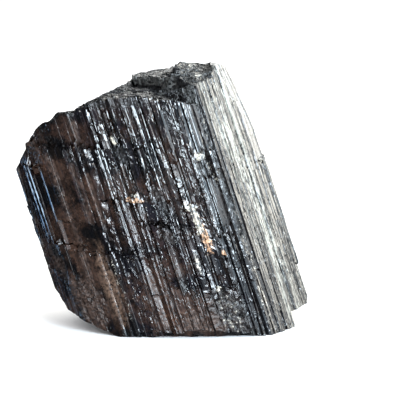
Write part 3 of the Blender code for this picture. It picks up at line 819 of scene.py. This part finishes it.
def rings(edge, centre, count, lines, height_of):
    """Places and heights on rings from the rim in to the centre. Where a path crosses the wall
    between two floors, a few rings climb that wall, and the broken rock shifts them to and fro."""
    shares = np.zeros((len(edge), count + 1))
    climbs = []
    met = [(ring, steps, crossing(edge, centre[None], line)) for ring, steps, line in lines]
    for column in range(len(edge)):
        at, values = [0], [0.0]
        for ring, steps, found in met:
            t = found[column]
            if t < 1 and t > values[-1] + 0.01:
                at += [ring, ring + steps]
                values += [t - 0.002, t + 0.002]
                climbs.append((column, ring, steps))
        shares[column] = np.interp(np.arange(count + 1), [*at, count + 1], [*values, 1.0])
    path = centre - edge
    length = np.linalg.norm(path, axis=1)
    place = edge[:, None] + path[:, None] * shares[..., None]
    s = height_of(place[..., 0], place[..., 1])
    for column, ring, steps in climbs:
        low, high = s[column, ring], s[column, ring + steps]
        part = np.arange(1, steps) / steps
        s[column, ring + 1 : ring + steps] = low + (high - low) * part
        rock = facets(column_u[column] * 0.8 + 0 * part, s[column, ring + 1 : ring + steps] * 1.1, 71)
        push = 0.32 * min(1.0, abs(high - low)) * rock / length[column]
        place[column, ring + 1 : ring + steps] += path[column] * push[:, None]
    return place[:, 1:], s[:, 1:]


top_place, top_s = rings(top_rim, TOP_CENTRE, TOP_RINGS, TOP_WALLS, top_height)
foot_place, foot_s = rings(foot_rim, FOOT_CENTRE, FOOT_RINGS, FOOT_WALLS, foot_height)
print(TOP_RINGS, "rings on top,", FOOT_RINGS, "under the foot")

# %% [markdown]
# ## One closed surface
# The grid runs like lines of longitude and latitude: from a pole under the foot, out along the base,
# up the wall, over the rim and in to a pole on top. Because it closes on itself all round and ends in
# two points, nothing has to be stitched.

# %% The mesh


def closed_grid(name, points, low_pole, high_pole):
    """A mesh from points[column, row] that closes round the columns, with a point at either end."""
    count, rows = points.shape[:2]
    where = np.concatenate([points.reshape(-1, 3), [low_pole, high_pole]]) * MM
    i, j = np.meshgrid(np.arange(count), np.arange(rows - 1), indexing="ij")
    right = (i + 1) % count
    quads = np.stack([i * rows + j, right * rows + j, right * rows + j + 1, i * rows + j + 1], -1)
    each = np.arange(count)
    after = (each + 1) % count
    below = np.stack([after * rows, each * rows, np.full(count, count * rows)], -1)
    above = np.stack([each * rows + rows - 1, after * rows + rows - 1, np.full(count, count * rows + 1)], -1)
    mesh = bpy.data.meshes.new(name)
    mesh.from_pydata(where.tolist(), [], quads.reshape(-1, 4).tolist() + below.tolist() + above.tolist())
    mesh.update()
    mesh.calc_loop_triangles()
    piece = bpy.data.objects.new(name, mesh)
    bpy.context.scene.collection.objects.link(piece)
    return piece


def whole(foot, wall, top):
    """Foot rings from the pole out, the wall's rows, then the top rings in to the other pole."""
    return np.concatenate([foot[:, ::-1], wall, top], axis=1)


p = whole(foot_place[..., 0], place[..., 0], top_place[..., 0])
q = whole(foot_place[..., 1], place[..., 1], top_place[..., 1])
s = whole(foot_s, wall_s, top_s)
poles = [
    to_world(centre[0], centre[1], height_of(centre[:1], centre[1:])[0])
    for centre, height_of in ((FOOT_CENTRE, foot_height), (TOP_CENTRE, top_height))
]
solid_low, solid_high = np.array(cad_box) / MM
surface = np.clip(to_world(p, q, s), solid_low, solid_high)  # nothing stands out of the solid's box
crystal = closed_grid("ribbed_crystal", surface, *poles)
print(len(crystal.data.loop_triangles), "triangles")

# %% [markdown]
# ## Where the wall changes
# One finish has to look different from place to place: crumbled floors are dull and grainy, old
# cracks are stained, and the right side is painted pale grey as painted light where it faces the
# bright panels, with painted glints on the top. Each of these is a number from 0 to 1 at every point
# of the mesh, worked out from the same tables, and the finish reads it as an attribute.

# %% Crumbled places
u_all = np.repeat(column_u[:, None], p.shape[1], axis=1)
level_all = level_of(p, s)
on_top, on_foot = np.zeros(p.shape), np.zeros(p.shape)
on_top[:, FOOT_RINGS + ROWS:] = 1
on_foot[:, :FOOT_RINGS] = 1
on_wall = 1 - on_top

STEEP = 1.2  # a rise so many times its run is a wall between two floors
steep = np.abs(np.diff(s, axis=1)) > STEEP * np.hypot(np.diff(p, axis=1), np.diff(q, axis=1))
steep = np.concatenate([steep, steep[:, -1:]], axis=1) & (on_top > 0)
left_end = np.clip((-7 - p) / 2, 0, 1)
share, _ = crumble(u_all, level_all)
rough = np.maximum(share * on_wall, on_top + 1.2 * steep)
rough = rough * (1 - 0.8 * on_top * rim_strip(p)) * (1 - 0.6 * on_top * left_end)
rough = rough * (1 - 0.7 * on_wall * zone(u_all, level_all, 16.0, 41.0, 12.0, 7.0, soft=0.6))
print("points on walls between two floors:", int(steep.sum()))

# %% Rust brown stains
# u, level, half width, half height, and the most that they cover
RUST = {
    "left_low": (13.0, 8.0, 14.0, 16.0, 1.0),
    "left_edge": (2.0, 6.0, 11.0, 13.0, 1.0),
    "left_high": (17.0, 30.0, 9.0, 10.0, 0.8),
    "plate": (22.5, 9.5, 3.6, 9.5, 1.0),
    "low_middle": (32.0, 6.0, 12.0, 11.0, 0.85),
    "foot_middle": (35.0, 2.0, 8.0, 5.0, 1.2),
    "middle": (35.0, 30.0, 13.0, 17.0, 0.35),
    "shoulder": (20.0, 42.5, 10.0, 6.5, 0.55),
    "back": (112.0, 10.0, 22.0, 14.0, 0.8),
}
rust = np.zeros(p.shape)
for *row, most in RUST.values():
    rust = np.maximum(rust, most * zone(u_all, level_all, *row, soft=1.0))
print("rusty share of the points:", round(float(rust.mean()), 3))

# %% Dull and stained strips, where the side of a rib would draw a hard bright line
DULL_STRIPS = [
    (18.6, 31.0, 0.8, 9.5), (25.7, 44.5, 0.8, 5.0), (18.8, 14.0, 0.8, 6.5),
    (25.8, 30.0, 0.5, 9.0), (23.2, 31.0, 0.4, 9.0),
]
dull = 0.9 * zones(u_all, level_all, DULL_STRIPS) * on_wall
rough, rust = np.maximum(rough, dull), np.maximum(rust, 1.2 * dull)
rust = np.maximum(rust, 0.8 * zone(u_all, level_all, 24.2, 32.0, 2.6, 8.5, soft=0.6) * on_wall)
tan = zone(u_all, level_all, 22.9, 10.5, 1.5, 7.5, soft=0.7) * on_wall
print("crumbled share of the points:", round(float(rough.mean()), 3))

# %% Chips of other minerals, and painted glints in the same cream
cream_and_glints, orange = (zones(u_all, level_all, rows.values(), soft=0.9) for rows in (CREAM, ORANGE))
# Thin scatters of specks: how thick they lie, then the place of each
SPECKS = {
    0.38: [
        (51.9, 33.6, 0.9, 3.2), (54.3, 40.0, 0.6, 13.0), (54.8, 20.0, 0.6, 10.0),
        (53.8, 6.0, 1.2, 5.0), (24.9, 10.0, 0.4, 8.0), (45.5, 5.5, 2.6, 4.6),
    ],
    0.4: [(74.5, 33.7, 3.5, 0.9)],
}
for thick, rows in SPECKS.items():
    cream_and_glints = np.maximum(cream_and_glints, thick * zones(u_all, level_all, rows))
# Painted glints: a thin line of bright specks along the rim of the top, in the chips' cream.
rim_painted_glints = np.clip(1 - np.abs(top_level[:, None] - level_all - 0.2) / 0.5, 0, 1)
rim_painted_glints = rim_painted_glints * np.clip((u_all - 24) / 3, 0, 1) * np.clip((49 - u_all) / 2, 0, 1)
cream_and_glints = np.maximum(cream_and_glints, 0.45 * rim_painted_glints)

# Painted glints: three bright spots on the column's top, in the chips' cream.
TOP_PAINTED_GLINTS = [(17.7, -5.0, 0.8), (14.5, 1.0, 0.5), (16.3, 2.0, 0.5)]  # across, back, radius
top_painted_glints = np.zeros(p.shape)
for across, back, radius in TOP_PAINTED_GLINTS:
    near = np.clip(1.5 - np.hypot(p - across, (q - back) / 3) / radius, 0, 1)
    top_painted_glints = np.maximum(top_painted_glints, near * on_top)
cream_and_glints = np.where(on_top > 0, top_painted_glints, cream_and_glints)
print("points under chips:", int((np.maximum(cream_and_glints, orange) > 0.5).sum()))

# %% Silvery grit on the top, partly painted glints and painted light, and the pale right side, painted light
# Painted light: the walls between two floors of the top are painted silver grey where the panels leave them
# dark.
painted_light_wall = steep * np.clip((13.4 - p) / 1.2, 0, 1)
# On the column's top the silver grey grit is partly painted glints.
column_grit_and_glints = 0.35 * on_top * np.clip((p - 13.8) / 0.8, 0, 1) * (1 - steep)
grit_and_painted_light = np.maximum(painted_light_wall, column_grit_and_glints)

PALE_START, PALE_LEAN, PALE_END = 55.0, 0.10, 92.0  # the pale side starts further round lower down
PALE_CORNER = 65.5  # and round this corner it is much thinner
# The pale side is painted light: where the right side faces the bright panels, pale grey stands in for their
# light.
pale_start = PALE_START + PALE_LEAN * (50.0 - level_all)
pale_painted_light = np.clip((u_all - pale_start) / 4, 0, 1) * np.clip((PALE_END - u_all) / 3, 0, 1)
pale_painted_light = pale_painted_light * (1 - 0.85 * np.clip((u_all - PALE_CORNER) / 3, 0, 1))
pale_painted_light = pale_painted_light * (1 - on_top * (1 - rim_strip(p))) * (1 - on_foot)

FINISHES = {
    "rough": rough, "rust": rust, "tan": tan, "pale_painted_light": pale_painted_light, "cream_and_glints": cream_and_glints, "grit_and_painted_light": grit_and_painted_light,
    "orange": orange * on_wall, "top": on_top, "calm": zones(u_all, level_all, CALM.values()) * on_wall,
}
for name, values in FINISHES.items():
    layer = crystal.data.attributes.new(name, "FLOAT", "POINT")
    layer.data.foreach_set("value", np.concatenate([values.ravel(), values[0, [0, -1]]]))
print(len(FINISHES), "attributes:", ", ".join(FINISHES))

# %% [markdown]
# ## Black tourmaline
# The stone is a glossy, almost black glass. What is seen of it is mostly reflection, broken up by the
# ribs, so the finish needs very little colour and a lot of fine relief: hair-thin lines that follow
# the long axis, and grain where the stone crumbled. Iron has stained the cracks rusty brown, and a
# few chips of cream and orange mineral still cling to it. The same cream paints glints along the top
# rim and on the column's top, silver grey paints glints and light on the top, and pale grey paints
# light on the right side.

# %% Materials, and nodes in them


def new_material(name):
    """A material, its nodes and its shader."""
    material = bpy.data.materials.new(name)
    material.use_nodes = True
    return material, material.node_tree, material.node_tree.nodes["Principled BSDF"]


def feed(tree, socket, value):
    """Give a socket a number, a colour or another node's output."""
    if isinstance(value, bpy.types.NodeSocket):
        tree.links.new(value, socket)
    else:
        socket.default_value = value


def add(tree, kind, settings=None, inputs=None):
    """A node with its settings, and its inputs given as numbers or as another node's output."""
    node = tree.nodes.new("ShaderNode" + kind)
    for key, value in (settings or {}).items():
        setattr(node, key, value)
    for key, value in (inputs or {}).items():
        feed(tree, node.inputs[key], value)
    return node


stone, tree, shader = new_material("black_tourmaline")
shader.inputs["IOR"].default_value = 1.64  # tourmaline bends light a little more than glass does
print(stone.name, "starts with", len(tree.nodes), "nodes")

# %% Patterns and arithmetic in the stone's own material


def noise(vector, scale, detail, roughness=0.6):
    """A chance value from 0 to 1, at so many waves to the metre."""
    inputs = {"Vector": vector, "Scale": scale, "Detail": detail, "Roughness": roughness}
    return add(tree, "TexNoise", inputs=inputs).outputs["Fac"]


def attribute(name):
    """One of the mesh's own numbers."""
    return add(tree, "Attribute", {"attribute_name": name}).outputs["Fac"]


def calculate(kind, a, b, clamp=False):
    """One step of arithmetic on two values."""
    node = add(tree, "Math", {"operation": kind, "use_clamp": clamp})
    for socket, value in zip(node.inputs, (a, b)):
        feed(tree, socket, value)
    return node.outputs[0]


def times(a, b):
    """The product of two values."""
    return calculate("MULTIPLY", a, b)


def ramp(value, low, high, to_low=0.0, to_high=1.0):
    """A straight ramp from to_low to to_high, while the value goes from low to high."""
    inputs = {"Value": value, "From Min": low, "From Max": high, "To Min": to_low, "To Max": to_high}
    return add(tree, "MapRange", inputs=inputs).outputs[0]


def mix(share, a, b):
    """Colour a, with so much of colour b over it."""
    node = add(tree, "Mix", {"data_type": "RGBA"})
    for number, value in ((0, share), (6, a), (7, b)):
        feed(tree, node.inputs[number], value)
    return node.outputs[2]


# %% Patterns that stand upright in the crystal
# Turned by the lean, the pattern's third axis is the long axis. Squeezing it draws a pattern out.
where = add(tree, "TexCoord").outputs["Object"]
upright = add(tree, "Mapping", inputs={"Vector": where, "Rotation": (0, LEAN, 0)}).outputs[0]
drawn_out = add(tree, "Mapping", inputs={"Vector": upright, "Scale": (1, 1, 0.045)}).outputs[0]
half_drawn = add(tree, "Mapping", inputs={"Vector": upright, "Scale": (1, 1, 0.4)}).outputs[0]

streaks = noise(drawn_out, 900, 4)
patches = noise(upright, 130, 5, 0.65)
grains = noise(upright, 1500, 4, 0.7)
specks = noise(half_drawn, 1700, 4, 0.7)
chips = noise(upright, 1100, 5, 0.7)
print(len(tree.nodes), "nodes with the patterns")

# %% Body colour: black, then each stain, grit and chip over it, and painted light and painted glints
BLACK, WARM_BLACK = (0.002, 0.002, 0.0025, 1), (0.0045, 0.0033, 0.0028, 1)
PAINTED_LIGHT_GREY = (0.21, 0.21, 0.185, 1)
RUST_BROWN, DARK_RUST = (0.070, 0.034, 0.021, 1), (0.012, 0.007, 0.005, 1)
PLATE_BROWN, GRIT_BROWN = (0.125, 0.080, 0.056, 1), (0.075, 0.046, 0.033, 1)
GRIT_GREY, SILVER_GLINT_GREY = (0.068, 0.072, 0.077, 1), (0.19, 0.20, 0.195, 1)
CREAM_AND_GLINT_COLOUR, ORANGE_COLOUR = (0.54, 0.50, 0.42, 1), (0.48, 0.30, 0.19, 1)

body = mix(ramp(streaks, 0.42, 0.62), BLACK, WARM_BLACK)
painted_light_streaks = calculate("ADD", times(streaks, 0.75), times(specks, 0.55))
# Painted light: pale grey in fine streaks on the right side, where it faces the bright panels
body = mix(times(attribute("pale_painted_light"), ramp(painted_light_streaks, 0.63, 0.72)), body, PAINTED_LIGHT_GREY)
rust_share = times(attribute("rust"), ramp(patches, 0.44, 0.58))
body = mix(rust_share, body, mix(ramp(grains, 0.35, 0.65), DARK_RUST, RUST_BROWN))
body = mix(times(attribute("tan"), ramp(grains, 0.36, 0.64)), body, PLATE_BROWN)
less_on_top = calculate("SUBTRACT", 1.0, times(attribute("top"), 0.55))
grit_share = times(times(attribute("rough"), less_on_top), ramp(grains, 0.50, 0.66))
body = mix(grit_share, body, mix(rust_share, GRIT_GREY, GRIT_BROWN))
# Silver grey: grit, partly painted glints on the top and painted light on the walls between its floors
body = mix(times(attribute("grit_and_painted_light"), ramp(grains, 0.42, 0.56)), body, SILVER_GLINT_GREY)

chipped = times(calculate("SUBTRACT", chips, 0.5), 3.0)  # gives each chip a ragged edge
orange_share = ramp(calculate("ADD", attribute("orange"), chipped), 0.55, 0.75)
body = mix(orange_share, body, mix(ramp(grains, 0.4, 0.6), DARK_RUST, ORANGE_COLOUR))
# The cream share also paints the glints along the rim and on the column's top.
cream_and_glint_share = ramp(calculate("ADD", attribute("cream_and_glints"), chipped), 0.55, 0.75)
body = mix(cream_and_glint_share, body, mix(ramp(grains, 0.42, 0.60), GRIT_GREY, CREAM_AND_GLINT_COLOUR))
feed(tree, shader.inputs["Base Color"], body)
print(len(tree.nodes), "nodes with the colours")

# %% Gloss: almost a mirror, duller where it is crumbled or rusty
gloss = ramp(streaks, 0.3, 0.7, 0.06, 0.18)
gloss = calculate("ADD", gloss, times(attribute("rough"), 0.16))
gloss = calculate("ADD", gloss, times(rust_share, 0.25), clamp=True)
gloss = calculate("SUBTRACT", gloss, times(attribute("top"), 0.08), clamp=True)
feed(tree, shader.inputs["Roughness"], gloss)
print(len(tree.nodes), "nodes with the gloss")

# %% Fine relief: hair-thin lines, then nicks, then grain, each bump on top of the one before


def bump(height, strength, depth, under=None):
    """A bump so many millimetres deep, over another bump."""
    inputs = {"Height": height, "Strength": strength, "Distance": depth * MM}
    if under:
        inputs["Normal"] = under
    return add(tree, "Bump", inputs=inputs).outputs[0]


uneven = calculate("SUBTRACT", 1.0, times(attribute("calm"), 0.75))
lines = noise(drawn_out, 1700, 3)
bunches = ramp(noise(drawn_out, 480, 2), 0.42, 0.56)  # the lines come in bunches
lines = times(lines, times(calculate("ADD", bunches, 0.2), uneven))
nicks = times(ramp(noise(half_drawn, 1300, 2), 0.54, 0.66), uneven)
grainy = calculate("MAXIMUM", attribute("rough"), times(attribute("pale_painted_light"), 0.25))
blocks = times(ramp(noise(upright, 560, 3), 0.40, 0.60), 1.6)  # broken corners on the top
grain_height = calculate("ADD", times(grains, grainy), times(attribute("top"), blocks))

relief = bump(lines, 0.6, 0.25)
relief = bump(nicks, 0.5, 0.2, under=relief)
relief = bump(grain_height, 0.8, 0.35, under=relief)
feed(tree, shader.inputs["Normal"], relief)
crystal.data.materials.append(stone)
print(len(tree.nodes), "nodes in the finish")

# %% Hand the surface over to the crystal's body
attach(crystal, "root")
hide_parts("tourmaline_crystal")

# %% [markdown]
# ## Floor and room
# The floor and the room are plain and almost white. A glossy black stone would mirror that white on
# every face and turn grey, so its reflections see a dark room, and only the panels are bright.

# %% Floor
HALF_FLOOR = 3.0  # metres
corners = [(x * HALF_FLOOR, y * HALF_FLOOR, 0) for x, y in ((-1, -1), (1, -1), (1, 1), (-1, 1))]
floor_mesh = bpy.data.meshes.new("floor")
floor_mesh.from_pydata(corners, [], [(0, 1, 2, 3)])
floor = bpy.data.objects.new("floor", floor_mesh)
bpy.context.scene.collection.objects.link(floor)
floor_finish, _, floor_shader = new_material("pale_floor")
floor_shader.inputs["Base Color"].default_value = (0.9, 0.9, 0.9, 1)
floor_shader.inputs["Roughness"].default_value = 0.9
floor_shader.inputs["Specular IOR Level"].default_value = 0.1
floor_mesh.materials.append(floor_finish)

floor.visible_glossy = False  # the floor's white would fill every face of the stone with grey
floor.visible_shadow = False  # so the panels may reach down past it
print("floor", 2 * HALF_FLOOR, "m wide")

# %% Room: white to look at, and almost dark in reflections
world = bpy.data.worlds.new("studio")
bpy.context.scene.world = world
world.use_nodes = True
room = world.node_tree
backdrop = room.nodes["Background"]
backdrop.inputs["Color"].default_value = (1, 1, 1, 1)
backdrop.inputs["Strength"].default_value = 1.15
dim = add(room, "Background", inputs={"Color": (0.7, 0.85, 1.0, 1), "Strength": 0.04})
rays = add(room, "LightPath")
blend_rooms = add(room, "MixShader", inputs={0: rays.outputs["Is Glossy Ray"]})
feed(room, blend_rooms.inputs[1], backdrop.outputs[0])
feed(room, blend_rooms.inputs[2], dim.outputs[0])
feed(room, room.nodes["World Output"].inputs["Surface"], blend_rooms.outputs[0])
print(len(room.nodes), "nodes in the room")

# %% [markdown]
# ## Light
# A black, glossy stone shows its lights more than itself. Each strip of a rib faces in one of the
# fixed directions, so each mirrors one part of the room, and a light is placed by the strips that it
# should brighten. A tall bright panel behind and to the right whitens the right wall, with a grey one
# beside it for contrast. A cool key light at the right front draws the bright lines on the ribs, and
# a narrow warm one beside it tints some of them. Weak cool panels in front and at the right give the
# flat bars their slate blue, two small ones low at the left the blue streaks there, and dim ones
# behind light the broken top. The tall lights are dimmer at their foot, as the crystal is.

# %% How a panel is placed
CENTRE = Vector((2.0, 0.0, 27.0)) * MM


def panel(name, around, up, wide, tall, radiance, colour, reach=0.30):
    """A soft light that faces the crystal: at an angle around from the front, towards the right, and
    an angle up, as many degrees wide and tall. Its power is radiance times area times pi."""
    width, height = (2 * reach * math.tan(math.radians(size) / 2) for size in (wide, tall))
    light = bpy.data.lights.new(name, "AREA")
    light.shape, light.size, light.size_y = "RECTANGLE", width, height
    light.energy, light.color = radiance * math.pi * width * height, colour
    lamp = bpy.data.objects.new(name, light)
    bpy.context.scene.collection.objects.link(lamp)
    a, e = math.radians(around), math.radians(up)
    outward = Vector((math.sin(a) * math.cos(e), -math.cos(a) * math.cos(e), math.sin(e)))
    lamp.location = CENTRE + outward * reach
    lamp.rotation_euler = (CENTRE - lamp.location).to_track_quat("-Z", "Y").to_euler()
    lamp.visible_camera = False
    return lamp


def fading(name, around, wide, steps, colour):
    """A tall light that changes with height: panels one above the other, from a lower to an upper
    angle, each with its own radiance."""
    for low, high, radiance in steps:
        panel(f"{name}_{low:g}", around, (low + high) / 2, wide, high - low, radiance, colour)


# %% The panels, from the front round to the back and the left
fading("front_sky", 13, 14, [(-24, -10, 0.7), (-10, 24, 1.3)], (0.60, 0.78, 1.0))
fading("front_left_sky", -16, 16, [(-24, -10, 0.4), (-10, 24, 0.9)], (0.68, 0.68, 1.0))
fading("key", 31, 20, [(-12, -5, 1.1), (-5, -2, 3.0), (-2, 1, 10.5), (1, 29, 33)], (0.76, 0.89, 1.0))
fading("warm_key", 17, 9, [(-12, -5, 0.8), (-5, -1, 1.6), (-1, 2, 4.5), (2, 29, 9)], (1.0, 0.92, 0.84))
fading("slate_sky", 56, 24, [(-12, 4, 2.0), (4, 30, 3.7)], (0.68, 0.86, 1.0))
fading("right_sky", 83, 30, [(-12, 8, 2.2), (8, 16, 4.2), (16, 30, 6.0)], (0.88, 0.95, 1.0))
fading("right_grey", 106, 12, [(-17, 8, 1.4), (8, 33, 2.0)], (0.97, 0.98, 1.0))
fading("right_back", 131, 38, [(-17, 3, 4.5), (3, 8, 7.6), (8, 17, 4.8), (17, 33, 10)], (1.0, 0.98, 0.89))
panel("right_far_back", 165, 10, 28, 50, 2.0, (1.0, 0.98, 0.92))
panel("left_sky", -126, -20.8, 26, 6, 1.6, (0.18, 0.48, 1.0))
panel("left_glint", -124, -20.8, 6, 6, 6.5, (0.70, 0.87, 1.0))
panel("left_wall", -128, 8, 40, 34, 0.7, (0.80, 0.91, 1.0))
panel("top_back", 165, 20, 44, 44, 1.2, (0.93, 0.97, 1.0), reach=0.4)

bpy.context.scene.view_settings.view_transform = "Standard"
